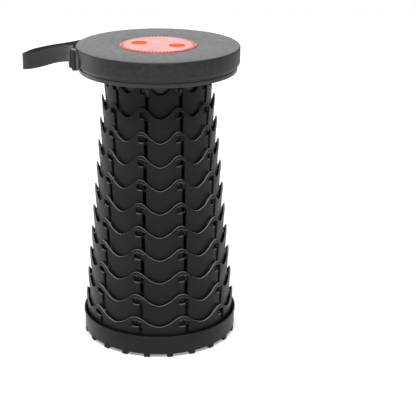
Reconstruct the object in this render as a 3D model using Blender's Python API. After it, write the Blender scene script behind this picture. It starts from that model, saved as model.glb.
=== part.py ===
"""Telescoping camp stool: a ring column that slides out of a treaded base tray, with a round seat on top.

Metres, +Z up, origin on the floor at the centre of the base. The front is -Y and the carry strap leaves the
seat on the -X side. The stool is modelled extended. Every ring slides straight down along Z.
"""
import math

import bmesh
import bpy
from mathutils import Vector

# ---- driving dimensions -------------------------------------------------------------------------------------
STOOL_HEIGHT = 0.450          # floor to seat top, extended
STAGE_TRAVEL = 0.0348         # how far each ring slides out of the one around it
RING_COUNT = 10               # moving rings between the base ring and the seat neck
GAP = 0.0003                  # clearance between pieces that touch

HUMP_Z = 0.0625               # highest point of the base ring's wavy edge
BASE_RING_R = 0.1145          # outer radius of the base ring at that height
RING_STEP = 0.0034            # each ring is this much smaller than the one around it
RING_WALL = 0.0018            # wall at the foot
RIM_WALL = 0.0020             # wall at the wavy top edge
RING_TAPER = math.tan(math.radians(3.1))    # rings are wider at the top
RING_HEIGHT = 0.0550

CELLS = 10                    # slots, pockets and humps around each ring
CELL = math.radians(36.0)
FIRST_SLOT = math.radians(-14.9)            # angle of the base ring's slot 0 from the front, towards +X
RING_TURN = math.radians(0.27)              # each ring is turned this much further towards +X
SLOT_HALF = 0.0027
SLOT_TOP = 0.0070             # below the hump
BAND = 0.0032                 # closed band along the foot
POCKET_SIDE = math.radians(6.8)             # left edge of the locking pocket from the slot centre
POCKET_LOW = 0.0160           # below the hump
HUMP_SHIFT = math.radians(3.8)              # the humps sit this far to the left of the slots
VALLEY_DROP = 0.0172          # the valleys of the wavy edge, below the hump
BASE_VALLEY_DROP = 0.0150     # the base ring's valleys are shallower

LUG_HALF = 0.0022
LUG_LOW = 0.0055              # above the foot
LUG_HIGH = 0.0112
LUG_LENGTH = 0.0043
LUG_BACK = 0.7                # the lugs sit this share of RING_TURN back, nearer the outer ring's slot centres

TRAY_R = 0.1176
TRAY_LIP_R = 0.1188
TRAY_WALL = 0.0020
TRAY_RIM_Z = 0.0340
TRAY_LIP_Z = 0.0280
TRAY_LIP_WALL = 0.0017
TRAY_SHOULDER_Z = 0.0298      # the seat's lower lip nests inside the rim above this when closed
FLOOR_LOW = 0.0040
FLOOR_TOP = 0.0065
TREADS = 21
TREAD_TURN = math.radians(7.35)
TREAD_WIDTH = 0.0080
TREAD_INNER_R = 0.1040
CENTRE_PAD_R = 0.0300

SEAT_R = 0.1205
SEAT_WALL = 0.0028
SEAT_EDGE = 0.0025            # chamfer of the seat's top edge
SEAT_UNDER_Z = 0.4456
SKIRT_LOW_Z = 0.4245
LIP_R = 0.1166
LIP_WALL = 0.0016
LIP_LOW_Z = 0.4135

CAP_R = 0.0580
CAP_PROUD = 0.0005
CAP_THICK = 0.0052
FINGER_R = 0.0122
FINGER_OFFSET = 0.0290
FINGER_ANGLE = math.radians(18.7)
CUP_R = 0.0660
CUP_LOW_Z = 0.4330
WELL_R = 0.0092
WELL_FLOOR_Z = 0.4370

STRAP_WIDTH = 0.0246
STRAP_THICK = 0.0014
PIN_R = 0.0015
PIN_RING_R = 0.1236
NOTCH_HALF = 0.0046
HOLDER_HALF = 0.0078          # the moulded ear round each strap notch
HOLDER_R = 0.1272
HOLDER_LOW_Z = 0.4175
HOLDER_SILL = 0.0020
HOLDER_TOP_Z = 0.4475
BOSS_PROUD = 0.0020           # the half-round plate beside each ear
BOSS_TURN = math.radians(6.5)
BOSS_START = -0.0090
BOSS_WIDTH = 0.0215
STRAP_FRONT = math.radians(-80.0)
STRAP_BACK = math.radians(-128.0)
SEGMENTS = 60


# ---- scene helpers ------------------------------------------------------------------------------------------
for old in list(bpy.data.objects):
    bpy.data.objects.remove(old, do_unlink=True)


def make_material(name, colour, roughness):
    material = bpy.data.materials.new(name)
    material.use_nodes = True
    shader = material.node_tree.nodes["Principled BSDF"]
    shader.inputs["Base Color"].default_value = (colour[0], colour[1], colour[2], 1.0)
    shader.inputs["Roughness"].default_value = roughness
    return material


PLASTIC = make_material("black_plastic", (0.030, 0.031, 0.033), 0.55)
SEAT_PLASTIC = make_material("seat_plastic", (0.040, 0.041, 0.043), 0.60)
CAP_PLASTIC = make_material("orange_plastic", (0.90, 0.10, 0.04), 0.45)
WEBBING = make_material("black_webbing", (0.020, 0.020, 0.022), 0.90)
STEEL = make_material("steel_pin", (0.45, 0.45, 0.46), 0.35)


def add_object(name, mesh_data, material):
    mesh = bpy.data.meshes.new(name)
    bmesh.ops.remove_doubles(mesh_data, verts=mesh_data.verts[:], dist=0.000001)
    bmesh.ops.recalc_face_normals(mesh_data, faces=mesh_data.faces[:])
    mesh_data.to_mesh(mesh)
    mesh_data.free()
    mesh.materials.append(material)
    item = bpy.data.objects.new(name, mesh)
    bpy.context.scene.collection.objects.link(item)
    return item


def polar(angle, radius, height):
    """A point at an angle from the front (-Y), positive towards +X."""
    return Vector((radius * math.sin(angle), -radius * math.cos(angle), height))


def lathe(name, profile, material, segments=SEGMENTS, phase=0.0):
    """A closed profile of (radius, height) turned about Z; radius 0 makes a pole."""
    data = bmesh.new()
    rings = []
    for radius, height in profile:
        if radius == 0.0:
            rings.append([data.verts.new((0.0, 0.0, height))])
        else:
            row = []
            for index in range(segments):
                row.append(data.verts.new(polar(phase + math.tau * index / segments, radius, height)))
            rings.append(row)
    count = len(rings)
    for number in range(count):
        lower = rings[number]
        upper = rings[(number + 1) % count]
        if len(lower) == 1 and len(upper) == 1:
            continue
        for index in range(segments):
            after = (index + 1) % segments
            if len(lower) == 1:
                data.faces.new((lower[0], upper[after], upper[index]))
            elif len(upper) == 1:
                data.faces.new((lower[index], lower[after], upper[0]))
            else:
                data.faces.new((lower[index], lower[after], upper[after], upper[index]))
    return add_object(name, data, material)


def box_bmesh(data, centre_angle, inner, outer, half_width, low, high):
    """A block pointing outwards at an angle, with straight sides."""
    middle = (polar(centre_angle, 1.0, 0.0)).normalized()
    side = Vector((math.cos(centre_angle), math.sin(centre_angle), 0.0))
    corners = []
    for height in (low, high):
        for radius, turn in ((inner, -1.0), (outer, -1.0), (outer, 1.0), (inner, 1.0)):
            point = middle * radius + side * (turn * half_width)
            corners.append(data.verts.new((point.x, point.y, height)))
    for face in ((3, 2, 1, 0), (4, 5, 6, 7), (0, 1, 5, 4), (1, 2, 6, 5), (2, 3, 7, 6), (3, 0, 4, 7)):
        data.faces.new([corners[index] for index in face])


def cylinder_bmesh(data, centre, radius, low, high, segments):
    bottom = []
    top = []
    for index in range(segments):
        angle = math.tau * index / segments
        x = centre[0] + radius * math.cos(angle)
        y = centre[1] + radius * math.sin(angle)
        bottom.append(data.verts.new((x, y, low)))
        top.append(data.verts.new((x, y, high)))
    data.faces.new(list(reversed(bottom)))
    data.faces.new(top)
    for index in range(segments):
        after = (index + 1) % segments
        data.faces.new((bottom[index], bottom[after], top[after], top[index]))


def half_round_bmesh(data, centre_angle, turn, inner, outer, start, width, low, high):
    """A plate facing outwards with one straight upright edge and one bowed edge."""
    out = polar(centre_angle, 1.0, 0.0)
    side = Vector((math.cos(centre_angle), math.sin(centre_angle), 0.0)) * turn
    outline = []
    for step in range(13):
        swing = math.pi * (step / 12.0 - 0.5)
        across = start + width * math.cos(swing)
        height = (low + high) / 2.0 + (high - low) / 2.0 * math.sin(swing)
        outline.append((across, height))
    back = []
    front = []
    for across, height in outline:
        spot = side * across + Vector((0.0, 0.0, height))
        back.append(data.verts.new(out * inner + spot))
        front.append(data.verts.new(out * outer + spot))
    data.faces.new(list(reversed(back)))
    data.faces.new(front)
    for index in range(len(outline)):
        after = (index + 1) % len(outline)
        data.faces.new((back[index], back[after], front[after], front[index]))


def combine(target, data, name, operation):
    """An exact Boolean of the target with a helper mesh, applied through an evaluated copy."""
    helper = add_object(name, data, target.data.materials[0])
    helper.hide_render = True
    helper.display_type = "WIRE"
    modifier = target.modifiers.new(name, "BOOLEAN")
    modifier.operation = operation
    modifier.solver = "EXACT"
    modifier.object = helper
    depsgraph = bpy.context.evaluated_depsgraph_get()
    depsgraph.update()
    result = bpy.data.meshes.new_from_object(target.evaluated_get(depsgraph))
    target.modifiers.clear()
    target.data = result
    bpy.data.objects.remove(helper, do_unlink=True)


# ---- the rings ----------------------------------------------------------------------------------------------
def build_ring(name, number, hump_z, foot_z, lug_parity, slotted, valley_drop):
    """One tapered ring of flat strips, counted outwards-in from the base ring, number 0.

    lug_parity picks the cells whose feet carry lugs, None for no lugs. Slots in those cells end above the lugs
    and every other slot runs down to the foot band. A ring that is not slotted has a flat top edge.
    """
    data = bmesh.new()
    top_radius = BASE_RING_R - RING_STEP * number
    first_slot = FIRST_SLOT + RING_TURN * number
    half_slot = SLOT_HALF / top_radius
    columns = []
    for cell in range(CELLS):
        centre = first_slot + CELL * cell
        drops = (
            (-HUMP_SHIFT - CELL / 2.0, 1.00),
            (-HUMP_SHIFT - math.radians(9.5), 0.64),
            (-POCKET_SIDE, 0.08),
            (-half_slot, 0.04),
            (half_slot, 0.25),
            (-HUMP_SHIFT + math.radians(9.5), 0.64),
        )
        for offset, drop in drops:
            top = hump_z - valley_drop * drop if slotted else hump_z
            columns.append((centre + offset, top))
    total = len(columns)
    per_cell = len(drops)
    levels = [{foot_z, columns[index][1]} for index in range(total)]

    def slot_low(cell):
        if lug_parity is not None and cell % 2 == lug_parity:
            return foot_z + LUG_HIGH + 0.0018
        return foot_z + BAND

    pieces = []
    lugs = []
    for cell in range(CELLS):
        for part in range(per_cell):
            left = cell * per_cell + part
            right = (left + 1) % total
            top_left = columns[left][1]
            top_right = columns[right][1]
            spans = [(foot_z, None)]
            if slotted and part == 3:
                slot_high = hump_z - SLOT_TOP
                spans = [(foot_z, slot_low(cell)), (slot_high, None)]
            elif slotted and part == 2:
                spans = [(foot_z, hump_z - POCKET_LOW), (hump_z - SLOT_TOP, None)]
            for low, high in spans:
                pieces.append((left, right, low, high, top_left, top_right))
                if low > foot_z:
                    levels[left].add(low)
                    levels[right].add(low)
                if high is not None:
                    levels[left].add(high)
                    levels[right].add(high)
            if lug_parity is not None and part == 3 and cell % 2 == lug_parity:
                lugs.append((left, right, cell))

    def radius_at(height):
        return top_radius - (hump_z - height) * RING_TAPER

    cache = {}

    def wall_at(height):
        share = (height - foot_z) / (hump_z - foot_z)
        return RING_WALL + (RIM_WALL - RING_WALL) * share

    def vertex(column, height, side):
        key = (column, round(height * 1e7), side)
        if key not in cache:
            radius = radius_at(height) - (wall_at(height) if side else 0.0)
            cache[key] = data.verts.new(polar(columns[column][0], radius, height))
        return cache[key]

    def edge_heights(column, low, high):
        return sorted(value for value in levels[column] if low - 1e-9 <= value <= high + 1e-9)

    uses = {}
    lug_pieces = {}
    for left, right, cell in lugs:
        lug_pieces[left] = cell
    for left, right, low, high, top_left, top_right in pieces:
        high_left = top_left if high is None else high
        high_right = top_right if high is None else high
        left_side = [(left, value) for value in edge_heights(left, low, high_left)]
        right_side = [(right, value) for value in edge_heights(right, low, high_right)]
        loop = right_side + list(reversed(left_side))
        for index in range(len(loop)):
            edge = (loop[index], loop[(index + 1) % len(loop)])
            uses[edge] = uses.get(edge, 0) + 1
        data.faces.new([vertex(column, value, 1) for column, value in reversed(loop)])
        if left in lug_pieces and low == foot_z:
            corners = {}
            angle = columns[left][0] + half_slot
            side = Vector((math.cos(angle), math.sin(angle), 0.0))
            out = polar(angle, 1.0, 0.0)
            back = -RING_TURN * top_radius * LUG_BACK
            for tag, height in (("low", foot_z + LUG_LOW), ("high", foot_z + LUG_HIGH)):
                flat = radius_at(height) * math.cos(half_slot)
                reach = radius_at(foot_z + LUG_LOW) * math.cos(half_slot) + LUG_LENGTH
                for turn in (-1.0, 1.0):
                    sideways = side * (turn * LUG_HALF + back) + Vector((0.0, 0.0, height))
                    corners[(tag, turn, 0)] = data.verts.new(out * flat + sideways)
                    corners[(tag, turn, 1)] = data.verts.new(out * reach + sideways)
            left_verts = [vertex(column, value, 0) for column, value in left_side]
            right_verts = [vertex(column, value, 0) for column, value in right_side]
            low_left = corners[("low", -1.0, 0)]
            low_right = corners[("low", 1.0, 0)]
            high_left_v = corners[("high", -1.0, 0)]
            high_right_v = corners[("high", 1.0, 0)]
            data.faces.new((left_verts[0], right_verts[0], low_right, low_left))
            data.faces.new(right_verts + [high_right_v, low_right])
            data.faces.new((right_verts[-1], left_verts[-1], high_left_v, high_right_v))
            data.faces.new(list(reversed(left_verts)) + [low_left, high_left_v])
            order = (("low", -1.0), ("low", 1.0), ("high", 1.0), ("high", -1.0))
            for index in range(4):
                first = order[index]
                second = order[(index + 1) % 4]
                data.faces.new((
                    corners[first + (0,)],
                    corners[second + (0,)],
                    corners[second + (1,)],
                    corners[first + (1,)],
                ))
            data.faces.new([corners[tag + (1,)] for tag in order])
        else:
            data.faces.new([vertex(column, value, 0) for column, value in loop])
    for (first, second), count in uses.items():
        if (second, first) in uses:
            continue
        data.faces.new((
            vertex(first[0], first[1], 0),
            vertex(first[0], first[1], 1),
            vertex(second[0], second[1], 1),
            vertex(second[0], second[1], 0),
        ))
    return add_object(name, data, PLASTIC)


build_ring("base_ring", 0, HUMP_Z, FLOOR_TOP + GAP, None, True, BASE_VALLEY_DROP)
for stage in range(1, RING_COUNT + 1):
    hump = HUMP_Z + STAGE_TRAVEL * stage
    build_ring(
        "stage_ring_%02d" % stage,
        stage,
        hump,
        hump - RING_HEIGHT,
        stage % 2,
        True,
        VALLEY_DROP,
    )
neck_top = SEAT_UNDER_Z - GAP
neck_hump = HUMP_Z + STAGE_TRAVEL * (RING_COUNT + 1)
build_ring(
    "seat_neck",
    RING_COUNT + 1,
    neck_top,
    neck_hump - RING_HEIGHT,
    (RING_COUNT + 1) % 2,
    False,
    VALLEY_DROP,
)

# ---- the base tray ------------------------------------------------------------------------------------------
tray = lathe(
    "base_tray",
    [
        (0.0, FLOOR_LOW),
        (TRAY_R, FLOOR_LOW),
        (TRAY_R, TRAY_LIP_Z),
        (TRAY_LIP_R, TRAY_LIP_Z),
        (TRAY_LIP_R, TRAY_RIM_Z),
        (TRAY_LIP_R - TRAY_LIP_WALL, TRAY_RIM_Z),
        (TRAY_LIP_R - TRAY_LIP_WALL, TRAY_SHOULDER_Z),
        (TRAY_R - TRAY_WALL, TRAY_SHOULDER_Z - 0.0010),
        (TRAY_R - TRAY_WALL, FLOOR_TOP),
        (0.0, FLOOR_TOP),
    ],
    PLASTIC,
    66,
)
tread_data = bmesh.new()
for index in range(TREADS):
    angle = TREAD_TURN + math.tau * index / TREADS
    box_bmesh(tread_data, angle, TREAD_INNER_R, TRAY_R + 0.0004, TREAD_WIDTH / 2.0, 0.0, FLOOR_LOW + 0.0010)
cylinder_bmesh(tread_data, (0.0, 0.0), CENTRE_PAD_R, 0.0, FLOOR_LOW + 0.0010, 32)
combine(tray, tread_data, "tray_feet", "UNION")

# ---- the seat -----------------------------------------------------------------------------------------------
seat_inner = SEAT_R - SEAT_WALL
shell = lathe(
    "seat_shell",
    [
        (CAP_R + GAP, SEAT_UNDER_Z),
        (seat_inner, SEAT_UNDER_Z),
        (seat_inner, SKIRT_LOW_Z),
        (SEAT_R, SKIRT_LOW_Z),
        (SEAT_R, STOOL_HEIGHT - SEAT_EDGE),
        (SEAT_R - SEAT_EDGE, STOOL_HEIGHT),
        (CAP_R + GAP, STOOL_HEIGHT),
    ],
    SEAT_PLASTIC,
)
holder_data = bmesh.new()
notch_data = bmesh.new()
notch_low = HOLDER_LOW_Z + HOLDER_SILL
boss_data = bmesh.new()
for angle, turn in ((STRAP_FRONT, 1.0), (STRAP_BACK, -1.0)):
    half_round_bmesh(
        boss_data, angle + turn * BOSS_TURN, turn, SEAT_R - 0.0026, SEAT_R + BOSS_PROUD, BOSS_START, BOSS_WIDTH,
        HOLDER_LOW_Z + 0.0004, HOLDER_TOP_Z - 0.0004,
    )
    box_bmesh(holder_data, angle, LIP_R + 0.0006, HOLDER_R, HOLDER_HALF, HOLDER_LOW_Z, HOLDER_TOP_Z)
    box_bmesh(notch_data, angle, LIP_R - 0.002, HOLDER_R + 0.004, NOTCH_HALF, notch_low, SEAT_UNDER_Z - GAP)
combine(shell, holder_data, "strap_holders", "UNION")
combine(shell, boss_data, "strap_bosses", "UNION")
combine(shell, notch_data, "strap_notches", "DIFFERENCE")

lip = lathe(
    "seat_lip",
    [
        (LIP_R - LIP_WALL, LIP_LOW_Z),
        (LIP_R, LIP_LOW_Z),
        (LIP_R, SKIRT_LOW_Z + 0.0030),
        (LIP_R - LIP_WALL, SKIRT_LOW_Z + 0.0030),
    ],
    SEAT_PLASTIC,
)
lip_data = bmesh.new()
for angle in (STRAP_FRONT, STRAP_BACK):
    box_bmesh(lip_data, angle, LIP_R - 0.006, LIP_R + 0.004, NOTCH_HALF, notch_low - 0.0005, SKIRT_LOW_Z + 0.010)
combine(lip, lip_data, "lip_notches", "DIFFERENCE")

cap_low = STOOL_HEIGHT + CAP_PROUD - CAP_THICK
cap = lathe(
    "centre_cap",
    [
        (0.0, cap_low),
        (CAP_R, cap_low),
        (CAP_R, STOOL_HEIGHT + CAP_PROUD - 0.0008),
        (CAP_R - 0.0008, STOOL_HEIGHT + CAP_PROUD),
        (0.0, STOOL_HEIGHT + CAP_PROUD),
    ],
    CAP_PLASTIC,
)
finger_places = []
for turn in (-1.0, 1.0):
    finger_x = turn * FINGER_OFFSET * math.cos(FINGER_ANGLE)
    finger_y = -turn * FINGER_OFFSET * math.sin(FINGER_ANGLE)
    finger_places.append((finger_x, finger_y))
hole_data = bmesh.new()
for place in finger_places:
    cylinder_bmesh(hole_data, place, FINGER_R, cap_low - 0.002, STOOL_HEIGHT + 0.004, 28)
combine(cap, hole_data, "finger_holes", "DIFFERENCE")

cup_top = cap_low - GAP
cup = lathe(
    "finger_cup",
    [
        (0.0, CUP_LOW_Z),
        (CUP_R, CUP_LOW_Z),
        (CUP_R, cup_top),
        (0.0, cup_top),
    ],
    PLASTIC,
    48,
)
well_data = bmesh.new()
for place in finger_places:
    cylinder_bmesh(well_data, place, WELL_R, WELL_FLOOR_Z, STOOL_HEIGHT, 24)
combine(cup, well_data, "finger_wells", "DIFFERENCE")

# ---- the carry strap and its two pins -----------------------------------------------------------------------
strap_mid = (notch_low + SEAT_UNDER_Z - GAP) / 2.0


def pin_centre(angle):
    return polar(angle, PIN_RING_R, 0.0)


for name, angle in (("strap_pin_front", STRAP_FRONT), ("strap_pin_back", STRAP_BACK)):
    pin_data = bmesh.new()
    cylinder_bmesh(pin_data, pin_centre(angle), PIN_R, notch_low + GAP, SEAT_UNDER_Z - GAP - GAP, 14)
    add_object(name, pin_data, STEEL)


def smooth_path(points, steps):
    """Catmull-Rom curve through the points."""
    path = []
    for index in range(len(points) - 1):
        before = points[max(index - 1, 0)]
        start = points[index]
        end = points[index + 1]
        after = points[min(index + 2, len(points) - 1)]
        for step in range(steps):
            t = step / steps
            point = (
                start * 2.0
                + (end - before) * t
                + (before * 2.0 - start * 5.0 + end * 4.0 - after) * t * t
                + (start * 3.0 - before - end * 3.0 + after) * t * t * t
            ) * 0.5
            path.append(point)
    path.append(points[-1].copy())
    return path


def pin_wrap(angle, turn):
    """Points round a pin: the hem starts outside it, goes round the inside and leaves outwards again."""
    centre = pin_centre(angle)
    reach = PIN_R + GAP + STRAP_THICK / 2.0
    out = polar(angle, 1.0, 0.0)
    side = Vector((math.cos(angle), math.sin(angle), 0.0))
    points = []
    for degrees in (40.0, 80.0, 120.0, 160.0, 200.0, 240.0, 270.0):
        swing = math.radians(degrees)
        points.append(centre + out * (reach * math.cos(swing)) + side * (turn * reach * math.sin(swing)))
    points.append(centre + out * 0.0020 + side * (turn * -0.0023))
    points.append(centre + out * 0.0048 + side * (turn * -0.0014))
    return points


front_wrap = pin_wrap(STRAP_FRONT, 1.0)
back_wrap = pin_wrap(STRAP_BACK, -1.0)
loop_points = list(front_wrap)
# each point of the free loop: x, y and how far the strap hangs below its height in the ears
for x, y, drop in (
    (-0.1290, -0.0178, 0.0000),
    (-0.1290, -0.0130, 0.0000),
    (-0.1268, -0.0040, 0.0000),
    (-0.1256, 0.0060, 0.0000),
    (-0.1256, 0.0150, 0.0000),
    (-0.1275, 0.0240, 0.0010),
    (-0.1335, 0.0345, 0.0035),
    (-0.1440, 0.0440, 0.0060),
    (-0.1580, 0.0530, 0.0105),
    (-0.1740, 0.0600, 0.0165),
    (-0.1890, 0.0650, 0.0210),
    (-0.2010, 0.0685, 0.0232),
    (-0.2062, 0.0728, 0.0240),
    (-0.2030, 0.0780, 0.0230),
    (-0.1890, 0.0800, 0.0180),
    (-0.1640, 0.0797, 0.0125),
    (-0.1400, 0.0790, 0.0085),
    (-0.1190, 0.0808, 0.0050),
    (-0.1062, 0.0801, 0.0015),
):
    loop_points.append(Vector((x, y, -drop)))
loop_points.extend(reversed(back_wrap))
strap_path = smooth_path(loop_points, 2)

strap_data = bmesh.new()
sections = []
for index, point in enumerate(strap_path):
    ahead = strap_path[min(index + 1, len(strap_path) - 1)]
    behind = strap_path[max(index - 1, 0)]
    along = ahead - behind
    across = Vector((-along.y, along.x, 0.0)).normalized()
    middle = strap_mid + point.z
    corners = []
    for shift, height in ((-1.0, -1.0), (1.0, -1.0), (1.0, 1.0), (-1.0, 1.0)):
        flat = point + across * (shift * STRAP_THICK / 2.0)
        corners.append(strap_data.verts.new((flat.x, flat.y, middle + height * STRAP_WIDTH / 2.0)))
    sections.append(corners)
strap_data.faces.new(list(reversed(sections[0])))
strap_data.faces.new(sections[-1])
for index in range(len(sections) - 1):
    for corner in range(4):
        after = (corner + 1) % 4
        strap_data.faces.new((
            sections[index][corner],
            sections[index][after],
            sections[index + 1][after],
            sections[index + 1][corner],
        ))
add_object("carry_strap", strap_data, WEBBING)
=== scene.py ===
import bpy, bmesh, math
from mathutils import Vector, Matrix


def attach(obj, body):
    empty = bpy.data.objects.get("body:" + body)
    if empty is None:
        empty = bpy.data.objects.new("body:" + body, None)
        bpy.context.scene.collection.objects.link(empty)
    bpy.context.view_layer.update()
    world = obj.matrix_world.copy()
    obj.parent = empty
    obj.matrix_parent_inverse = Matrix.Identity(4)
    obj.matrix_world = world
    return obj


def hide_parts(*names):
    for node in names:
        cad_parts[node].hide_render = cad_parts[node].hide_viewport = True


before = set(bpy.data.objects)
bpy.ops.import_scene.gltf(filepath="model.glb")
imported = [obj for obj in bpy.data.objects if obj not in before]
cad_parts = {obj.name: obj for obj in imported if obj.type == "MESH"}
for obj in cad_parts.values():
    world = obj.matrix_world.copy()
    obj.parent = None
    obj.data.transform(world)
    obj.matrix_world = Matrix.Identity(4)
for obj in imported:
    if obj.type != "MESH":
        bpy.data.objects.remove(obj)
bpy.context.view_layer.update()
rad = math.radians

# ---- driving sizes, the same as part.py (metres, angles in degrees unless turned by rad) ----
TRAVEL = 0.0348               # each ring stands this far above the one around it
RINGS = 10                    # sliding rings between the base ring and the seat neck
RING_H = 0.0550               # a ring's height from its foot to its humps
HUMP_Z = 0.0625               # top of the base ring's humps
BASE_R = 0.1145               # outer radius of the base ring at its humps
STEP = 0.0034                 # each ring is this much smaller in radius
WALL = 0.0018                 # ring wall at the foot
RIM_WALL = 0.0020             # ring wall at the wavy edge
TAPER = math.tan(rad(3.1))

CELLS = 10                    # slots round a ring
CELL = 36.0                   # angle from slot to slot
SLOT0 = -14.9                 # angle of the base ring's first slot
TURN = 0.27                   # each ring is turned by this from the one around it
HUMP_SHIFT = 3.8              # a hump's centre lies this angle beside its slot
VALLEY = 0.0172               # depth of the valleys in a ring's wavy edge
BASE_VALLEY = 0.0150          # the same on the base ring

SLOT_HALF = 0.0027            # half width of a slot
BAND = 0.0032                 # closed band under a slot
POCKET = 6.8                  # a locking pocket reaches this angle beside its slot
POCKET_LOW = 0.0160           # a pocket's floor, below the hump

LUG_HALF = 0.0022
LUG_LOW = 0.0055              # lug heights above the foot
LUG_HIGH = 0.0112
LUG_LEN = 0.0043              # how far a lug stands out
LUG_BACK = 0.7                # share of TURN by which the lugs sit back
LUG_SILL = 0.0018             # a slot that carries its own ring's lug starts this far above it
PAD_A = 5.0                   # the low pads stand this angle beside a slot
PAD_LOW = 0.0050              # pad heights above the foot
PAD_HIGH = 0.0112
PAD_RISE = 0.0012             # how far a pad stands out
SINK = 0.001                  # a lug or a pad goes this far into its wall

TRAY_R = 0.1176
TRAY_LIP_R = 0.1188
TRAY_WALL = 0.0020
RIM_Z = 0.0340
FLOOR_LOW = 0.0040
FLOOR_TOP = 0.0065
TREADS = 21
TREAD_TURN = rad(7.35)
TREAD_IN = 0.1040             # inner end of a tread
TREAD_HALF = 0.0040           # half width of a tread at its inner end
RIB_TURN = rad(6.6)

SEAT_R = 0.1205
SEAT_WALL = 0.0028
SEAT_Z = 0.4500
UNDER_Z = 0.4456              # underside of the seat plate
SKIRT_Z = 0.4245              # lower edge of the skirt
LIP_R = 0.1166
LIP_WALL = 0.0016
LIP_Z = 0.4135

CAP_R = 0.0580
FINGER_R = 0.0122
FINGER_OFF = 0.0290           # each finger hole is this far from the middle
FINGER_A = rad(18.7)
WELL_R = 0.0092               # blind wells in the cup below the finger holes
WELL_LOW = 0.4370
SLEEVE_LOW = 0.4372           # lower edge of the orange sleeve in a well

STRAP_FRONT = rad(-80.0)      # angles of the strap's two ends
STRAP_BACK = rad(-128.0)
PIN_RING_R = 0.1236           # the strap pins stand at this radius
PIN_R = 0.0015
STRAP_T = 0.0014
STRAP_W = 0.0246
NOTCH_HALF = 0.0046           # the notch in the skirt and lip behind each pin
NOTCH_LOW = 0.4195
HOLDER_HALF = 0.0078          # the ear round a notch, which holds its pin
HOLDER_LOW = 0.4175
HOLDER_TOP = 0.4475
HOLDER_R = 0.1272
GAP = 0.0003                  # running gap between separate pieces


# ---- camera at the viewing angle ----
def make_camera():
    cd = bpy.data.cameras.new("camera")
    cam = bpy.data.objects.new("camera", cd)
    bpy.context.scene.collection.objects.link(cam)
    dist, height = 1.63098, 0.80108
    pitch, yaw, roll = 0.3421, 0.04585, 0.00885
    side, focal, shift = 416.0, 1130.889, -15.5
    cd.sensor_width = 36.0
    cd.lens = focal * 36.0 / side
    cd.shift_y = shift / side
    cam.location = (0.0, -dist, height)
    turn = Matrix.Rotation(-yaw, 4, "Z") @ Matrix.Rotation(math.pi / 2 - pitch, 4, "X")
    cam.rotation_euler = (turn @ Matrix.Rotation(roll, 4, "Z")).to_euler()
    cd.clip_start, cd.clip_end = 0.05, 50.0
    bpy.context.scene.camera = cam


make_camera()


# ---- materials ----
def new_mat(name):
    m = bpy.data.materials.new(name)
    m.use_nodes = True
    nt = m.node_tree
    return m, nt, nt.nodes["Principled BSDF"]


def math_node(nt, operation, first, second, third=None):
    """A Math node; each input is a socket or a number."""
    n = nt.nodes.new("ShaderNodeMath")
    n.operation = operation
    for i, v in enumerate((first, second, third)):
        if v is None:
            continue
        if isinstance(v, (int, float)):
            n.inputs[i].default_value = v
        else:
            nt.links.new(v, n.inputs[i])
    return n.outputs[0]


def ramp(nt, fac, stops):
    """A colour ramp over fac; a stop is a grey level or a colour."""
    r = nt.nodes.new("ShaderNodeValToRGB")
    e = r.color_ramp.elements
    while len(e) < len(stops):
        e.new(0.5)
    for i, (place, c) in enumerate(stops):
        e[i].position = place
        e[i].color = (*c, 1.0) if isinstance(c, tuple) else (c, c, c, 1.0)
    nt.links.new(fac, r.inputs["Fac"])
    return r.outputs["Color"]


def coords(nt):
    return nt.nodes.new("ShaderNodeTexCoord").outputs["Object"]


def noise(nt, co, scale, detail=4.0, rough=0.55):
    n = nt.nodes.new("ShaderNodeTexNoise")
    n.inputs["Scale"].default_value = scale
    n.inputs["Detail"].default_value = detail
    n.inputs["Roughness"].default_value = rough
    nt.links.new(co, n.inputs["Vector"])
    return n.outputs["Fac"]


def bump(nt, b, height, strength, distance, under=None):
    n = nt.nodes.new("ShaderNodeBump")
    n.inputs["Strength"].default_value = strength
    n.inputs["Distance"].default_value = distance
    nt.links.new(height, n.inputs["Height"])
    if under is not None:
        nt.links.new(under, n.inputs["Normal"])
    nt.links.new(n.outputs["Normal"], b.inputs["Normal"])
    return n.outputs["Normal"]


def light_painted_upwards(nt, col, fine, painted_top_grey):
    """Blends col to a lighter grey on faces turned upwards: painted light on rims and bevels."""
    up = nt.nodes.new("ShaderNodeSeparateXYZ")
    nt.links.new(nt.nodes.new("ShaderNodeNewGeometry").outputs["Normal"], up.inputs[0])
    blend = nt.nodes.new("ShaderNodeMix")
    blend.data_type = "RGBA"
    nt.links.new(ramp(nt, up.outputs["Z"], [(0.30, 0.0), (0.75, 1.0)]), blend.inputs[0])
    nt.links.new(col, blend.inputs[6])
    low = (painted_top_grey * 0.7, painted_top_grey * 0.7, painted_top_grey * 0.74)
    high = (painted_top_grey * 1.2, painted_top_grey * 1.2, painted_top_grey * 1.25)
    nt.links.new(ramp(nt, fine, [(0.25, low), (0.75, high)]), blend.inputs[7])
    return blend.outputs[2]


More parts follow.
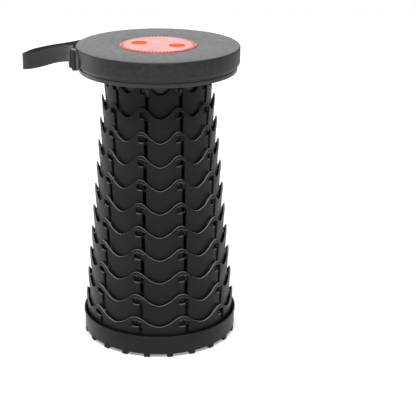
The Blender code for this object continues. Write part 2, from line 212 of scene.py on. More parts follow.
def moulded(name, dark, light, rough, speckle, coarse=26.0, spec=0.5, painted_top_grey=None, painted_glow=None):
    """Moulded plastic: cloudy colour variation, fine pitted texture and uneven gloss.

    The top grey is the level painted on faces turned upwards, a painted highlight on rims and bevels.
    The glow is painted light: an emission standing in for the light a thin translucent wall passes on.
    """
    m, nt, b = new_mat(name)
    co = coords(nt)
    big = noise(nt, co, coarse, 6.0, 0.62)
    fine = noise(nt, co, 1500.0, 2.0, 0.5)
    clouds = math_node(nt, "ADD", big, math_node(nt, "MULTIPLY", fine, 0.35))
    col = ramp(nt, clouds, [(0.38, dark), (0.95, light)])
    if painted_top_grey is not None:
        col = light_painted_upwards(nt, col, fine, painted_top_grey)
    nt.links.new(col, b.inputs["Base Color"])
    if painted_glow is not None:
        nt.links.new(col, b.inputs["Emission Color"])
        b.inputs["Emission Strength"].default_value = painted_glow
    nt.links.new(ramp(nt, big, [(0.30, rough - 0.07), (0.72, rough + 0.08)]), b.inputs["Roughness"])
    b.inputs["Specular IOR Level"].default_value = spec
    pits = bump(nt, b, fine, 0.35, speckle)
    bump(nt, b, noise(nt, co, 420.0, 3.0, 0.6), 0.25, speckle * 2.0, pits)
    return m


# faces turned upwards are painted lighter: a painted highlight on the ring rims and bevels
MAT_RING = moulded(
    "ring_plastic", (0.0128, 0.0124, 0.0142), (0.0205, 0.0198, 0.0224), 0.40, 0.00005, spec=0.07, painted_top_grey=0.22,
)
# darker than the rings' plastic: painted shade on the neck under the seat
MAT_NECK = moulded("neck_plastic_painted_shade", (0.007, 0.007, 0.008), (0.014, 0.014, 0.016), 0.50, 0.00006)
# faces turned upwards are painted a little lighter: painted light on the tray's floor and rim
MAT_TRAY = moulded(
    "tray_plastic", (0.0115, 0.0111, 0.0128), (0.0205, 0.0198, 0.0225), 0.40, 0.00008, spec=0.12, painted_top_grey=0.03,
)
MAT_SEAT = moulded(
    "seat_plastic_fine", (0.0135, 0.0130, 0.0155), (0.0390, 0.0380, 0.0440), 0.46, 0.00030, 150.0, spec=0.24,
)
MAT_LIP = moulded("lip_plastic", (0.013, 0.0125, 0.0155), (0.029, 0.028, 0.033), 0.34, 0.00006, spec=0.45)
MAT_CUP = moulded("cup_plastic", (0.010, 0.010, 0.011), (0.018, 0.018, 0.020), 0.45, 0.00006)
MAT_CAP = moulded("cap_orange", (0.36, 0.042, 0.020), (0.44, 0.062, 0.032), 0.36, 0.00005, 40.0, 0.60)
MAT_TICK = moulded("cap_tick", (0.26, 0.014, 0.007), (0.36, 0.026, 0.012), 0.70, 0.00005, 40.0, 0.10)
# lighter orange than the cap, with emission: painted light glowing in the finger holes and wells
MAT_LINER = moulded(
    "liner_orange_painted_glow", (0.90, 0.16, 0.06), (1.00, 0.24, 0.10), 0.45, 0.00005, 40.0, 0.4, painted_glow=0.27,
)


def steel():
    m, nt, b = new_mat("pin_steel")
    f = noise(nt, coords(nt), 900.0)
    nt.links.new(ramp(nt, f, [(0.3, 0.32), (0.7, 0.50)]), b.inputs["Base Color"])
    nt.links.new(ramp(nt, f, [(0.3, 0.26), (0.7, 0.42)]), b.inputs["Roughness"])
    b.inputs["Metallic"].default_value = 1.0
    return m


def bands(nt, uv, direction, scale, distortion):
    n = nt.nodes.new("ShaderNodeTexWave")
    n.wave_type = "BANDS"
    n.bands_direction = direction
    n.wave_profile = "SIN"
    n.inputs["Scale"].default_value = scale
    n.inputs["Distortion"].default_value = distortion
    nt.links.new(uv, n.inputs["Vector"])
    return n


def webbing():
    """Woven strap: UV x runs along the strap in metres, UV y across it."""
    m, nt, b = new_mat("webbing_weave")
    uv = nt.nodes.new("ShaderNodeTexCoord").outputs["UV"]
    ribs = bands(nt, uv, "X", 260.0, 0.6)
    ribs.inputs["Detail Scale"].default_value = 3.0
    cords = bands(nt, uv, "Y", 330.0, 0.4)
    weave = math_node(nt, "MULTIPLY", ribs.outputs["Fac"], cords.outputs["Fac"])
    hair = noise(nt, coords(nt), 2200.0, 3.0, 0.7)
    height = math_node(nt, "MULTIPLY_ADD", hair, 0.35, weave)
    # colour follows the weave's height: painted shade in its low parts, with a random fibre tone from the
    # hair noise
    col = ramp(nt, height, [(0.10, (0.006, 0.006, 0.007)), (0.95, (0.034, 0.034, 0.038))])
    nt.links.new(col, b.inputs["Base Color"])
    b.inputs["Roughness"].default_value = 0.82
    b.inputs["Sheen Weight"].default_value = 0.25
    b.inputs["Sheen Roughness"].default_value = 0.5
    bump(nt, b, height, 0.8, 0.0003)
    return m


def thread():
    m, nt, b = new_mat("stitch_thread")
    f = noise(nt, coords(nt), 3000.0)
    nt.links.new(ramp(nt, f, [(0.3, 0.020), (0.7, 0.055)]), b.inputs["Base Color"])
    b.inputs["Roughness"].default_value = 0.7
    return m


MAT_STEEL, MAT_WEB, MAT_THREAD = steel(), webbing(), thread()


# ---- mesh helpers ----
def polar(a, r, z):
    return Vector((r * math.sin(a), -r * math.cos(a), z))


def axes(a):
    """The outward and the sideways direction at angle a."""
    return polar(a, 1.0, 0.0), Vector((math.cos(a), math.sin(a), 0.0))


def mark_smooth(bm, angle):
    for e in bm.edges:
        e.smooth = not (len(e.link_faces) == 2 and e.calc_face_angle(0.0) > rad(angle))
    for f in bm.faces:
        f.smooth = True


def add_bevel(ob, width, segments, angle):
    bv = ob.modifiers.new("bevel", "BEVEL")
    bv.width, bv.segments, bv.limit_method, bv.angle_limit = width, segments, "ANGLE", rad(angle)
    bv.harden_normals = True
    return bv


def finish_mesh(name, bm, mat, angle=38.0, bevel=None, segments=2, weld=1e-6):
    """Makes an object of bm; edges sharper than angle stay hard, and get a bevel where a width is given."""
    if weld:
        bmesh.ops.remove_doubles(bm, verts=bm.verts[:], dist=weld)
    bmesh.ops.recalc_face_normals(bm, faces=bm.faces[:])
    mark_smooth(bm, angle)
    me = bpy.data.meshes.new(name)
    bm.to_mesh(me)
    bm.free()
    me.materials.append(mat)
    ob = bpy.data.objects.new(name, me)
    bpy.context.scene.collection.objects.link(ob)
    if bevel:
        bv = add_bevel(ob, bevel, segments, angle)
        bv.miter_outer = "MITER_ARC"
        bv.use_clamp_overlap = True
    return ob


def cut(ob, bm, op="DIFFERENCE"):
    """Applies one exact Boolean to ob and throws the cutter away."""
    me = bpy.data.meshes.new("cutter")
    bmesh.ops.recalc_face_normals(bm, faces=bm.faces[:])
    bm.to_mesh(me)
    bm.free()
    c = bpy.data.objects.new("cutter", me)
    bpy.context.scene.collection.objects.link(c)
    md = ob.modifiers.new("cut", "BOOLEAN")
    md.operation, md.solver, md.object = op, "EXACT", c
    bpy.context.view_layer.update()
    dg = bpy.context.evaluated_depsgraph_get()
    baked = bpy.data.meshes.new_from_object(ob.evaluated_get(dg))
    ob.modifiers.clear()
    ob.data = baked
    bpy.data.objects.remove(c, do_unlink=True)


def resmooth(ob, angle=30.0, bevel=None, segments=2):
    bm = bmesh.new()
    bm.from_mesh(ob.data)
    mark_smooth(bm, angle)
    bm.to_mesh(ob.data)
    bm.free()
    if bevel:
        add_bevel(ob, bevel, segments, angle)


def join_rows(bm, rows, closed=True, ends=True):
    """Faces between rows of vertices that each run round a section, and on the first and last row."""
    pairs = list(zip(rows, rows[1:])) if closed else list(zip(rows, rows[1:] + rows[:1]))
    for a, b in pairs:
        for i in range(len(a)):
            j = (i + 1) % len(a)
            bm.faces.new((a[i], a[j], b[j], b[i]))
    if ends:
        bm.faces.new(rows[0][::-1])
        bm.faces.new(rows[-1])


def lathe_bm(bm, profile, seg):
    """Turns a closed profile of (radius, height) about the z axis; a radius of 0.0 is a pole."""
    rows = []
    for r, z in profile:
        if r == 0.0:
            rows.append([bm.verts.new((0, 0, z))])
        else:
            rows.append([bm.verts.new(polar(math.tau * i / seg, r, z)) for i in range(seg)])
    for k, a in enumerate(rows):
        b = rows[(k + 1) % len(rows)]
        if len(a) == 1 and len(b) == 1:
            continue
        for i in range(seg):
            j = (i + 1) % seg
            if len(a) == 1:
                bm.faces.new((a[0], b[j], b[i]))
            elif len(b) == 1:
                bm.faces.new((a[i], a[j], b[0]))
            else:
                bm.faces.new((a[i], a[j], b[j], b[i]))


def fillet(profile, corners):
    """Rounds the named corners of a closed profile: {index: radius}."""
    out = []
    n = len(profile)
    steps = 5
    for i, p in enumerate(profile):
        if i not in corners:
            out.append(p)
            continue
        r = corners[i]
        p = Vector(p)
        a, b = Vector(profile[i - 1]), Vector(profile[(i + 1) % n])
        da, db = (a - p).normalized(), (b - p).normalized()
        half = math.acos(max(-1, min(1, da.dot(db)))) / 2
        t = r / math.tan(half)
        s, e = p + da * t, p + db * t
        c = p + (da + db).normalized() * (r / math.sin(half))
        a0 = math.atan2((s - c).y, (s - c).x)
        a1 = math.atan2((e - c).y, (e - c).x)
        d = (a1 - a0 + math.pi) % math.tau - math.pi
        for k in range(steps + 1):
            w = a0 + d * k / steps
            out.append((c.x + r * math.cos(w), c.y + r * math.sin(w)))
    return out


def block(bm, ang, r0, r1, half, z0, z1, half_out=None):
    """A box standing outwards at an angle, with half_out as its half width at the outer face."""
    half_out = half if half_out is None else half_out
    out, side = axes(ang)
    v = []
    for z in (z0, z1):
        for r, w in ((r0, -half), (r1, -half_out), (r1, half_out), (r0, half)):
            p = out * r + side * w
            v.append(bm.verts.new((p.x, p.y, z)))
    for f in ((3, 2, 1, 0), (4, 5, 6, 7), (0, 1, 5, 4), (1, 2, 6, 5), (2, 3, 7, 6), (3, 0, 4, 7)):
        bm.faces.new([v[i] for i in f])


def circle_point(centre, r, i, seg):
    w = math.tau * i / seg
    return centre[0] + r * math.cos(w), centre[1] + r * math.sin(w)


def prism(bm, centre, r, z0, z1, seg):
    lo = [bm.verts.new((*circle_point(centre, r, i, seg), z0)) for i in range(seg)]
    hi = [bm.verts.new((v.co.x, v.co.y, z1)) for v in lo]
    bm.faces.new(list(reversed(lo)))
    bm.faces.new(hi)
    for i in range(seg):
        j = (i + 1) % seg
        bm.faces.new((lo[i], lo[j], hi[j], hi[i]))


# ---- the rings ----
# the wavy edge from a hump's centre (0) to the valley's centre (1): share of the way, share of the depth
EDGE = [
    (0.0, 0.0), (0.06, 0.006), (0.11, 0.025), (0.17, 0.085), (0.22, 0.15), (0.28, 0.235),
    (0.34, 0.335), (0.40, 0.435), (0.45, 0.525), (0.50, 0.605), (0.56, 0.675), (0.62, 0.745),
    (0.70, 0.83), (0.78, 0.90), (0.86, 0.955), (0.93, 0.99), (1.0, 1.0),
]


def interp(table, t):
    for (a, u), (b, w) in zip(table, table[1:]):
        if t <= b:
            return u + (w - u) * (t - a) / (b - a)
    return table[-1][1]


def edge_drop(off, valley):
    """Drop of the wavy edge below the hump, at an angle from the slot centre."""
    d = abs(((off + HUMP_SHIFT + CELL / 2) % CELL) - CELL / 2) / (CELL / 2)
    return valley * interp(EDGE, d)


def arch_top(off):
    """Top of a slot and its pocket, below the hump."""
    if off <= -5.6:
        return 0.0062 + 0.0030 * ((-5.6 - off) / 1.2) ** 2
    if off <= -2.6:
        return 0.0062
    return 0.0062 + 0.0028 * ((off + 2.6) / 4.0) ** 1.3


def pocket_low(off):
    """Floor of a pocket, below the hump."""
    if off < -5.6:
        return POCKET_LOW - 0.0022 * ((-5.6 - off) / 1.2) ** 2
    return POCKET_LOW


def micron(z):
    return round(z * 1e6)


def ring_offsets(hs):
    """Angles of a cell's columns from its slot centre; hs is the slot's half angle."""
    return [
        -21.8, -20.4, -19.0, -17.6, -16.4, -15.4, -14.5, -13.7, -13.0, -12.4, -11.8, -11.2,
        -10.4, -9.4, -8.4, -7.5, -POCKET, -6.5, -6.1, -5.6, -4.8, -3.9, -3.0, -2.4,
        -hs, -hs * 0.72, -hs * 0.3, hs * 0.3, hs * 0.72, hs,
        2.5, 3.2, 3.8, 4.3, 4.8, 5.4, 6.1, 7.0, 8.2, 9.6, 11.2, 12.8,
    ]


def bead_line(hs):
    """Line of the raised bead round a slot and its pocket: angle from the slot, depth below the hump."""
    return [
        (hs + 0.55, 0.0300), (hs + 0.55, 0.0200), (hs + 0.55, 0.0120), (hs + 0.45, 0.0092),
        (hs - 0.4, 0.0078), (-0.6, 0.0065), (-2.6, 0.0050), (-4.2, 0.0049), (-5.6, 0.0051),
        (-6.6, 0.0062), (-7.25, 0.0085), (-7.35, 0.0120), (-7.3, 0.0150), (-6.9, 0.0167),
        (-6.0, 0.0174), (-hs - 0.9, 0.0175), (-hs - 0.55, 0.0195), (-hs - 0.55, 0.0240),
        (-hs - 0.55, 0.0300),
    ]


def build_ring(name, number, hump, foot, lugs, slots, valley):
    """A tapered ring, counted inwards from the base ring.

    lugs is the parity of the slots that carry a lug, or None for no lugs.
    A ring without slots has a flat top.
    """
    bm = bmesh.new()
    top_r = BASE_R - STEP * number
    slot0 = SLOT0 + TURN * number
    hs = math.degrees(SLOT_HALF / top_r)
    offs = ring_offsets(hs)
    per = len(offs)
    total = per * CELLS
    cols = []
    for c in range(CELLS):
        for o in offs:
            cols.append((rad(slot0 + CELL * c + o), hump - edge_drop(o, valley) if slots else hump))

    def outer(z):
        return top_r - (hump - z) * TAPER

    def slot_floor(o, base):
        """A slot's floor is a shallow arc over its closed band."""
        return base + 0.0010 * (1 - math.sqrt(max(0.0, 1 - (o / hs) ** 2)))

    # wall panels: left and right column, lower heights, upper heights
    spans = []
    for c in range(CELLS):
        for p in range(per):
            left = c * per + p
            right = (left + 1) % total
            o_left = offs[p]
            o_right = offs[p + 1] if p + 1 < per else offs[0] + CELL
            mid = (o_left + o_right) / 2
            top_left, top_right = cols[left][1], cols[right][1]
            low = None
            if slots and -hs < mid < hs:
                own = lugs is not None and c % 2 == lugs
                base = foot + LUG_HIGH + LUG_SILL if own else foot + BAND
                low = (slot_floor(o_left, base), slot_floor(o_right, base))
            elif slots and -POCKET < mid < -hs:
                low = (hump - pocket_low(o_left), hump - pocket_low(o_right))
            if low is None:
                spans.append((left, right, foot, foot, top_left, top_right))
            else:
                spans.append((left, right, foot, foot, low[0], low[1]))
                over = (hump - arch_top(o_left), hump - arch_top(o_right))
                spans.append((left, right, over[0], over[1], top_left, top_right))
    marks = [set() for _ in range(total)]
    for left, right, a, b, c, d in spans:
        marks[left].update((micron(a), micron(c)))
        marks[right].update((micron(b), micron(d)))
    cache = {}

    def vert(col, k, side):
        if (col, k, side) not in cache:
            z = k / 1e6
            thick = WALL + (RIM_WALL - WALL) * (z - foot) / (hump - foot)
            cache[(col, k, side)] = bm.verts.new(polar(cols[col][0], outer(z) - (thick if side else 0.0), z))
        return cache[(col, k, side)]

    uses = set()
    for left, right, a, b, c, d in spans:
        ls = [(left, k) for k in sorted(marks[left]) if micron(a) <= k <= micron(c)]
        rs = [(right, k) for k in sorted(marks[right]) if micron(b) <= k <= micron(d)]
        loop = rs + ls[::-1]
        bm.faces.new([vert(col, k, 0) for col, k in loop])
        bm.faces.new([vert(col, k, 1) for col, k in reversed(loop)])
        for i in range(len(loop)):
            uses.add((loop[i], loop[(i + 1) % len(loop)]))
    for a, b in uses:
        if (b, a) not in uses:
            bm.faces.new((vert(*a, 0), vert(*a, 1), vert(*b, 1), vert(*b, 0)))

    # lugs on the foot, and the low pads that show through the outer ring's pockets
    if lugs is not None:
        for c in range(CELLS):
            ang = rad(slot0 + CELL * c)
            if c % 2 == lugs:
                root = outer(foot + LUG_LOW)
                low, high = foot + LUG_LOW, foot + LUG_HIGH
                back, tip = rad(TURN * LUG_BACK), root + LUG_LEN - 0.0001
                block(bm, ang - back, root - SINK, tip, LUG_HALF, low, high, LUG_HALF - 0.0002)
            root = outer(foot + 0.008)
            low, high = foot + PAD_LOW, foot + PAD_HIGH
            block(bm, ang - rad(PAD_A + TURN), root - SINK, root + PAD_RISE, 0.0025, low, high, 0.0019)

    # raised bead round each slot and pocket
    bead_half, bead_sink, bead_rise = 0.00055, -0.0003, 0.00038
    section = ((-1.0, bead_sink), (-0.75, bead_rise), (0.75, bead_rise), (1.0, bead_sink))
    for c in range(CELLS if slots else 0):
        line = [(rad(slot0 + CELL * c + o), hump - dz) for o, dz in bead_line(hs)]
        rows = []
        for i, (a, z) in enumerate(line):
            a0, z0 = line[max(i - 1, 0)]
            a1, z1 = line[min(i + 1, len(line) - 1)]
            r = outer(z)
            t = Vector(((a1 - a0) * r, z1 - z0)).normalized()
            n = Vector((-t.y, t.x)) * bead_half
            row = []
            for s, h in section:
                row.append(bm.verts.new(polar(a + n.x * s / r, outer(z + n.y * s) + h, z + n.y * s)))
            rows.append(row)
        join_rows(bm, rows)
    return finish_mesh(name, bm, MAT_RING, 40.0, 0.00050, 3, 0)


names = ["base_ring"] + ["stage_ring_%02d" % i for i in range(1, RINGS + 1)]
for i, node in enumerate(names):
    hump = HUMP_Z + TRAVEL * i
    foot = FLOOR_TOP + GAP if i == 0 else hump - RING_H
    lugs = None if i == 0 else i % 2
    ring = build_ring("look_" + node, i, hump, foot, lugs, True, VALLEY if i else BASE_VALLEY)
    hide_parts(node)
    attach(ring, "base" if i == 0 else "stage_%02d" % i)
neck_foot = HUMP_Z + TRAVEL * (RINGS + 1) - RING_H
neck = build_ring("look_seat_neck", RINGS + 1, UNDER_Z - GAP, neck_foot, 1, False, VALLEY)
neck.data.materials[0] = MAT_NECK
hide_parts("seat_neck")
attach(neck, "seat")

# ---- base tray ----
bm = bmesh.new()
lip_in, wall_in = TRAY_LIP_R - 0.0017, TRAY_R - TRAY_WALL
prof = [
    (0.0, FLOOR_LOW), (TRAY_R - 0.0002, FLOOR_LOW), (TRAY_R, 0.0285), (TRAY_LIP_R, 0.0300),
    (TRAY_LIP_R, RIM_Z), (lip_in, RIM_Z), (lip_in, 0.0298), (wall_in, 0.0288),
    (wall_in, FLOOR_TOP), (0.0, FLOOR_TOP),
]
lathe_bm(bm, fillet(prof, {1: 0.0022, 3: 0.0006, 4: 0.0007, 5: 0.0005, 8: 0.0007}), 220)
tray = finish_mesh("look_base_tray", bm, MAT_TRAY, 35.0)

bm = bmesh.new()
for i in range(TREADS):
    a = TREAD_TURN + math.tau * i / TREADS
    block(bm, a, TREAD_IN, TRAY_R + 0.0006, TREAD_HALF, 0.0, FLOOR_LOW + 0.0030, TREAD_HALF + 0.0008)
tread = finish_mesh("look_treads", bm, MAT_TRAY, 30.0, 0.0014, 3)

# the middle pad, six ribs and two rings under the tray
bm = bmesh.new()
pad_r, pad_top, rib_low = 0.030, FLOOR_LOW + 0.0005, FLOOR_LOW - 0.0016
lathe_bm(bm, fillet([(0.0, 0.0), (pad_r, 0.0), (pad_r, pad_top), (0.0, pad_top)], {1: 0.0012}), 72)
for i in range(6):
    block(bm, math.tau * i / 6 + RIB_TURN, 0.031, 0.103, 0.0011, rib_low, pad_top)
for r in (0.055, 0.080):
    lathe_bm(bm, [(r, rib_low), (r + 0.0018, rib_low), (r + 0.0018, pad_top), (r, pad_top)], 120)
under = finish_mesh("look_tray_underside", bm, MAT_TRAY, 30.0, 0.0003, 2)
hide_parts("base_tray")
for o in (tray, tread, under):
    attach(o, "base")

# ---- seat shell ----
bm = bmesh.new()
inner = SEAT_R - SEAT_WALL
hole = CAP_R + GAP
prof = [
    (hole, UNDER_Z), (inner, UNDER_Z), (inner, SKIRT_Z),
    (SEAT_R - 0.0002, SKIRT_Z), (SEAT_R, SEAT_Z), (hole, SEAT_Z),
]
lathe_bm(bm, fillet(prof, {2: 0.0006, 3: 0.0016, 4: 0.0022, 5: 0.0006}), 240)
shell = finish_mesh("look_seat_shell", bm, MAT_SEAT, 35.0)


def half_round_plate(bm, a, turn):
    """The flat half-round plate beside an ear, with a rounded outer edge."""
    out, side = axes(a)
    side = side * turn
    zl, zh = HOLDER_LOW + 0.0004, HOLDER_TOP - 0.0004
    start, width, points = -0.0090, 0.0215, 33
    layers = ((-0.0026, 1.0), (0.0010, 1.0), (0.0017, 0.985), (0.0020, 0.95))
    grid = []
    for rise, k in layers:
        r = SEAT_R + rise
        row = []
        for i in range(points):
            w = math.pi * (i / (points - 1) - 0.5)
            up = Vector((0, 0, (zl + zh) / 2 + (zh - zl) / 2 * k * math.sin(w)))
            row.append(bm.verts.new(out * r + (side * (start + width * k * math.cos(w)) + up)))
        grid.append(row)
    join_rows(bm, grid)


def strap_ear(bm, a):
    """The moulded ear round a strap notch, with rounded outer corners."""
    out, side = axes(a)
    corner = 0.0024
    plan = [(LIP_R + 0.0006, -HOLDER_HALF)]
    for i in range(7):
        w = math.pi / 2 * i / 6
        plan.append((HOLDER_R - corner + corner * math.sin(w), -HOLDER_HALF + corner - corner * math.cos(w)))
    plan += [(r, -t) for r, t in reversed(plan)]
    levels = (
        (HOLDER_LOW, 0.0006), (HOLDER_LOW + 0.0006, 0.0),
        (HOLDER_TOP - 0.0008, 0.0), (HOLDER_TOP, 0.0008),
    )
    rows = []
    for z, k in levels:
        row = []
        for r, t in plan:
            inset = k if r > SEAT_R + 0.0005 else 0.0
            p = out * (r - inset) + side * (t * (1 - k / HOLDER_HALF))
            row.append(bm.verts.new(p + Vector((0, 0, z))))
        rows.append(row)
    join_rows(bm, rows)


plates, ears, notches = bmesh.new(), bmesh.new(), bmesh.new()
for a, turn in ((STRAP_FRONT, 1.0), (STRAP_BACK, -1.0)):
    half_round_plate(plates, a + turn * rad(6.5), turn)
    strap_ear(ears, a)
    block(notches, a, LIP_R - 0.002, HOLDER_R + 0.004, NOTCH_HALF, NOTCH_LOW, UNDER_Z - GAP)
cut(shell, ears, "UNION")
cut(shell, plates, "UNION")
cut(shell, notches)
resmooth(shell, 32.0)

bm = bmesh.new()
lip_in, groove_r, lip_top = LIP_R - LIP_WALL, LIP_R - 0.0009, SKIRT_Z + 0.003
prof = [
    (lip_in, LIP_Z), (LIP_R, LIP_Z), (LIP_R + 0.0002, 0.4192),
    (groove_r, 0.4198), (groove_r, lip_top), (lip_in, lip_top),
]
lathe_bm(bm, fillet(prof, {0: 0.0004, 1: 0.0006, 2: 0.0004}), 240)
lip = finish_mesh("look_seat_lip", bm, MAT_LIP, 35.0)
notches = bmesh.new()
for a in (STRAP_FRONT, STRAP_BACK):
    block(notches, a, LIP_R - 0.006, LIP_R + 0.004, NOTCH_HALF, NOTCH_LOW - 0.0005, SKIRT_Z + 0.010)
cut(lip, notches)
resmooth(lip, 32.0)

# ---- orange cap with finger holes, and the cup beneath ----
top = SEAT_Z + 0.0005
low = top - 0.0052
cup_top = low - GAP
FINGER_X, FINGER_Y = FINGER_OFF * math.cos(FINGER_A), FINGER_OFF * math.sin(FINGER_A)
places = [(t * FINGER_X, -t * FINGER_Y) for t in (-1, 1)]
bm = bmesh.new()
groove = top - 0.0009
prof = [
    (0.0, low), (CAP_R, low), (CAP_R, top), (CAP_R - 0.0013, top),
    (CAP_R - 0.0017, groove), (CAP_R - 0.0024, groove), (CAP_R - 0.0028, top), (0.0, top),
]
lathe_bm(bm, fillet(prof, {2: 0.0005}), 180)
cap = finish_mesh("look_centre_cap", bm, MAT_CAP, 28.0)
bm = bmesh.new()
for p in places:
    prism(bm, p, FINGER_R, low - 0.002, top + 0.004, 64)
cut(cap, bm)
resmooth(cap, 28.0, 0.0004, 3)

# radial ticks near the cap's edge, and the dark seam ring round it
bm = bmesh.new()
tick_low, tick_top, ticks_round = top - 0.0004, top + 0.00012, 60
for i in range(ticks_round):
    a = math.tau * (i + 0.5) / ticks_round
    block(bm, a, CAP_R - 0.0076, CAP_R - 0.0036, 0.0009, tick_low, tick_top, 0.0012)
seam_in, seam_out = CAP_R - 0.0013, CAP_R - 0.0002
lathe_bm(bm, [(seam_in, tick_low), (seam_out, tick_low), (seam_out, top - 0.0001), (seam_in, tick_top)], 180)
ticks = finish_mesh("look_cap_ticks", bm, MAT_TICK, 30.0, 0.00010, 1)

bm = bmesh.new()
cup_low, cup_r = 0.4330, 0.0660
lathe_bm(bm, fillet([(0.0, cup_low), (cup_r, cup_low), (cup_r, cup_top), (0.0, cup_top)], {1: 0.001}), 120)
cup = finish_mesh("look_finger_cup", bm, MAT_CUP, 30.0)
bm = bmesh.new()
for p in places:
    prism(bm, p, WELL_R, WELL_LOW, 0.46, 48)
cut(cup, bm)
resmooth(cup, 30.0, 0.0008, 3)

# thin orange sleeves in the finger holes and in the wells below them, lighter and glowing: painted light
# inside the holes
bm = bmesh.new()
sleeve, fine_seg = 0.0004, 64
sleeves = ((FINGER_R - 0.00005, low + 0.0002, top - 0.0006), (WELL_R - 0.00005, SLEEVE_LOW, cup_top - 0.0006))
for p in places:
    for r, z0, z1 in sleeves:
        rows = []
        for q, z in ((r, z0), (r, z1), (r - sleeve, z1), (r - sleeve, z0)):
            rows.append([bm.verts.new((*circle_point(p, q, i, fine_seg), z)) for i in range(fine_seg)])
        join_rows(bm, rows, closed=False, ends=False)
liners = finish_mesh("look_hole_liners", bm, MAT_LINER, 30.0)
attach(liners, "seat")
for o, n, s in (
    (shell, "seat_shell", "seat_plastic"), (lip, "seat_lip", "seat_plastic"),
    (cap, "centre_cap", "orange_plastic"), (cup, "finger_cup", "black_plastic"),
):
    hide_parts(n)
    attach(o, "seat")
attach(ticks, "seat")

# ---- strap pins keep their CAD shape ----
for n in ("strap_pin_front", "strap_pin_back"):
    for material_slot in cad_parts[n].material_slots:
        material_slot.material = MAT_STEEL


# ---- carry strap ----
def pin_wrap(a, turn):
    """Points round a pin: the hem starts outside it, goes round the inside and leaves outwards again."""
    c, reach = polar(a, PIN_RING_R, 0.0), PIN_R + GAP + STRAP_T / 2
    out, side = axes(a)
    wrap = []
    for d in (40, 80, 120, 160, 200, 240, 270):
        wrap.append(c + out * (reach * math.cos(rad(d))) + side * (turn * reach * math.sin(rad(d))))
    wrap.append(c + out * 0.0020 + side * (turn * -0.0023))
    wrap.append(c + out * 0.0048 + side * (turn * -0.0014))
    return wrap


def smooth_path(pts, steps):
    """Catmull-Rom curve through the points."""
    out = []
    for i in range(len(pts) - 1):
        a, b, c, d = pts[max(i - 1, 0)], pts[i], pts[i + 1], pts[min(i + 2, len(pts) - 1)]
        for s in range(steps):
            t = s / steps
            square = (a * 2 - b * 5 + c * 4 - d) * t * t
            cube = (b * 3 - a - c * 3 + d) * t ** 3
            out.append((b * 2 + (c - a) * t + square + cube) * 0.5)
    out.append(pts[-1].copy())
    return out


# each point of the free loop: x, y and how far the strap hangs below its height in the ears
LOOP = [
    (-0.1290, -0.0178, 0.0000), (-0.1290, -0.0130, 0.0000), (-0.1268, -0.0040, 0.0000),
    (-0.1256, 0.0060, 0.0000), (-0.1256, 0.0150, 0.0000), (-0.1275, 0.0240, 0.0010),
    (-0.1335, 0.0345, 0.0035), (-0.1440, 0.0440, 0.0060), (-0.1580, 0.0530, 0.0105),
    (-0.1740, 0.0600, 0.0165), (-0.1890, 0.0650, 0.0210), (-0.2010, 0.0685, 0.0232),
    (-0.2062, 0.0728, 0.0240), (-0.2030, 0.0780, 0.0230), (-0.1890, 0.0800, 0.0180),
    (-0.1640, 0.0797, 0.0125), (-0.1400, 0.0790, 0.0085), (-0.1190, 0.0808, 0.0050),
    (-0.1062, 0.0801, 0.0015),
]
free = [Vector((x, y, -drop)) for x, y, drop in LOOP]
path = smooth_path(pin_wrap(STRAP_FRONT, 1.0) + free + pin_wrap(STRAP_BACK, -1.0)[::-1], 6)
ear_mid = (NOTCH_LOW + UNDER_Z - GAP) / 2

bm = bmesh.new()
uvl = bm.loops.layers.uv.new("UVMap")
across = [(-1.0, 0.62), (-0.94, 1.0), (-0.5, 1.0), (0.0, 1.0), (0.5, 1.0), (0.94, 1.0), (1.0, 0.62)]
section = across + [(h, -t) for h, t in reversed(across)]
rows, dist, strap_frames = [], 0.0, []
for i, p in enumerate(path):
    if i:
        dist += (p - path[i - 1]).length
    t = (path[min(i + 1, len(path) - 1)] - path[max(i - 1, 0)]).normalized()
    n = Vector((-t.y, t.x, 0.0)).normalized()
    mid = ear_mid + p.z
    strap_frames.append((p, t, n, mid, dist))
    row = []
    for h, w in section:
        q = p + n * (w * STRAP_T / 2)
        row.append((bm.verts.new((q.x, q.y, mid + h * STRAP_W / 2)), h))
    rows.append((row, dist))
for (a, da), (b, db) in zip(rows, rows[1:]):
    for i in range(len(a)):
        j = (i + 1) % len(a)
        f = bm.faces.new((a[i][0], a[j][0], b[j][0], b[i][0]))
        for lp, (u, v) in zip(f.loops, ((da, a[i][1]), (da, a[j][1]), (db, b[j][1]), (db, b[i][1]))):
            lp[uvl].uv = (u, v * STRAP_W / 2)
bm.faces.new([v for v, _ in rows[0][0]][::-1])
bm.faces.new([v for v, _ in rows[-1][0]])
strap = finish_mesh("look_carry_strap", bm, MAT_WEB, 50.0, None, 2, 0)
bpy.context.view_layer.update()
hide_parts("carry_strap")
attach(strap, "seat")

# ---- stitching at both hems of the strap ----
PITCH, STITCH, STITCH_HALF = 0.0026, 0.0018, 0.00022
strap_length = strap_frames[-1][4]


def stitch_row(bm, s0, s1, h0, h1):
    """Stitches on both faces of the strap, from place s0 and height h0 to place s1 and height h1."""
    count = max(1, int(math.hypot(s1 - s0, h1 - h0) / PITCH))
    for k in range(count):
        w = (k + 0.5) / count
        s, h = s0 + (s1 - s0) * w, h0 + (h1 - h0) * w
        p, t, n, mid, d = min(strap_frames, key=lambda q: abs(q[4] - s))
        base = Vector((p.x, p.y, mid + h)) + t * (s - d)
        along = (t * (s1 - s0) + Vector((0, 0, h1 - h0))).normalized()
        up = Vector((0, 0, 1)) if abs(s1 - s0) > abs(h1 - h0) else t
        for face in (1.0, -1.0):
            c = base + n * (face * (STRAP_T / 2 + 0.00005))
            vs = []
            for u, rise in ((-1, 0), (-0.6, 1), (0.6, 1), (1, 0)):
                for v in (-1, 1):
                    lift = n * (face * rise * STITCH_HALF)
                    vs.append(bm.verts.new(c + along * (u * STITCH / 2) + up * (v * STITCH_HALF) + lift))
            for i in range(3):
                bm.faces.new((vs[2 * i], vs[2 * i + 1], vs[2 * i + 3], vs[2 * i + 2]))


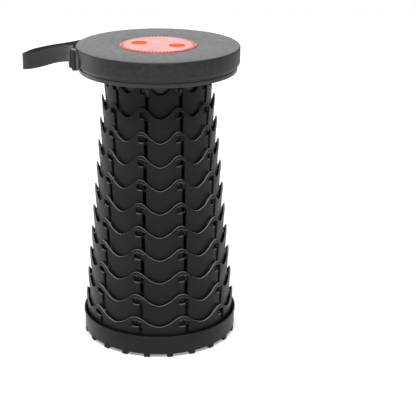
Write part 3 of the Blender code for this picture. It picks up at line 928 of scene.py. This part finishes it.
bm = bmesh.new()
box_len, box_half = 0.0130, 0.0100
for s0 in (0.0200, strap_length - 0.0330):
    s1 = s0 + box_len
    for h in (-box_half, box_half):
        stitch_row(bm, s0, s1, h, h)
    for s in (s0, s1):
        stitch_row(bm, s, s, -box_half, box_half)
    stitch_row(bm, s0, s1, -box_half, box_half)
    stitch_row(bm, s0, s1, box_half, -box_half)
stitches = finish_mesh("look_strap_stitches", bm, MAT_THREAD, 60.0, None, 2, 0)
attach(stitches, "seat")

# ---- stage: pale floor, soft studio light ----
bm = bmesh.new()
SQUARES, WIDE, DEEP, NEAR = 24, 12, 7.6, -5
grid = []
for j in range(SQUARES + 1):
    y = NEAR + DEEP * j / SQUARES
    grid.append([bm.verts.new((-WIDE / 2 + WIDE * i / SQUARES, y, -0.0002)) for i in range(SQUARES + 1)])
for j in range(SQUARES):
    for i in range(SQUARES):
        bm.faces.new((grid[j][i], grid[j][i + 1], grid[j + 1][i + 1], grid[j + 1][i]))
floor_mat, nt, b = new_mat("floor_pale")
nt.links.new(ramp(nt, noise(nt, coords(nt), 3.0), [(0.3, 0.90), (0.7, 0.93)]), b.inputs["Base Color"])
b.inputs["Roughness"].default_value = 0.85
b.inputs["Specular IOR Level"].default_value = 0.2
b.inputs["Emission Color"].default_value = (1.0, 1.0, 1.0, 1.0)
b.inputs["Emission Strength"].default_value = 0.30
floor = finish_mesh("floor", bm, floor_mat)

# the backdrop is white to the camera and lights the stool only faintly
world = bpy.data.worlds.new("studio")
bpy.context.scene.world = world
world.use_nodes = True
wn = world.node_tree
back = wn.nodes["Background"]
back.inputs["Color"].default_value = (1.0, 1.0, 1.0, 1.0)
ray_kind = wn.nodes.new("ShaderNodeLightPath")
level = wn.nodes.new("ShaderNodeMapRange")
level.inputs["To Min"].default_value = 0.14
level.inputs["To Max"].default_value = 1.0
wn.links.new(ray_kind.outputs["Is Camera Ray"], level.inputs["Value"])
wn.links.new(level.outputs["Result"], back.inputs["Strength"])


def area(name, loc, aim, size, power, size_y=None):
    ld = bpy.data.lights.new(name, "AREA")
    ld.energy, ld.size = power, size
    if size_y:
        ld.shape, ld.size_y = "RECTANGLE", size_y
    o = bpy.data.objects.new(name, ld)
    bpy.context.scene.collection.objects.link(o)
    o.location = loc
    o.rotation_euler = (Vector(aim) - Vector(loc)).to_track_quat("-Z", "Y").to_euler()
    o.visible_camera = False


area("key_top", (0.1, 0.2, 2.6), (0, 0, 0.3), 1.6, 24)
area("edge_front", (-0.15, -1.05, 2.2), (0, 0, 0.25), 2.0, 46, 0.45)
area("back_glare", (0.0, 2.8, 1.55), (0, 0, 0.35), 3.0, 38, 1.3)
area("side_left", (-2.0, 0.7, 0.5), (0, 0, 0.0), 1.0, 12, 0.8)
area("side_right", (2.0, 0.8, 0.9), (0, 0, 0.25), 1.0, 1.5, 1.8)

bpy.context.scene.view_settings.view_transform = "Standard"
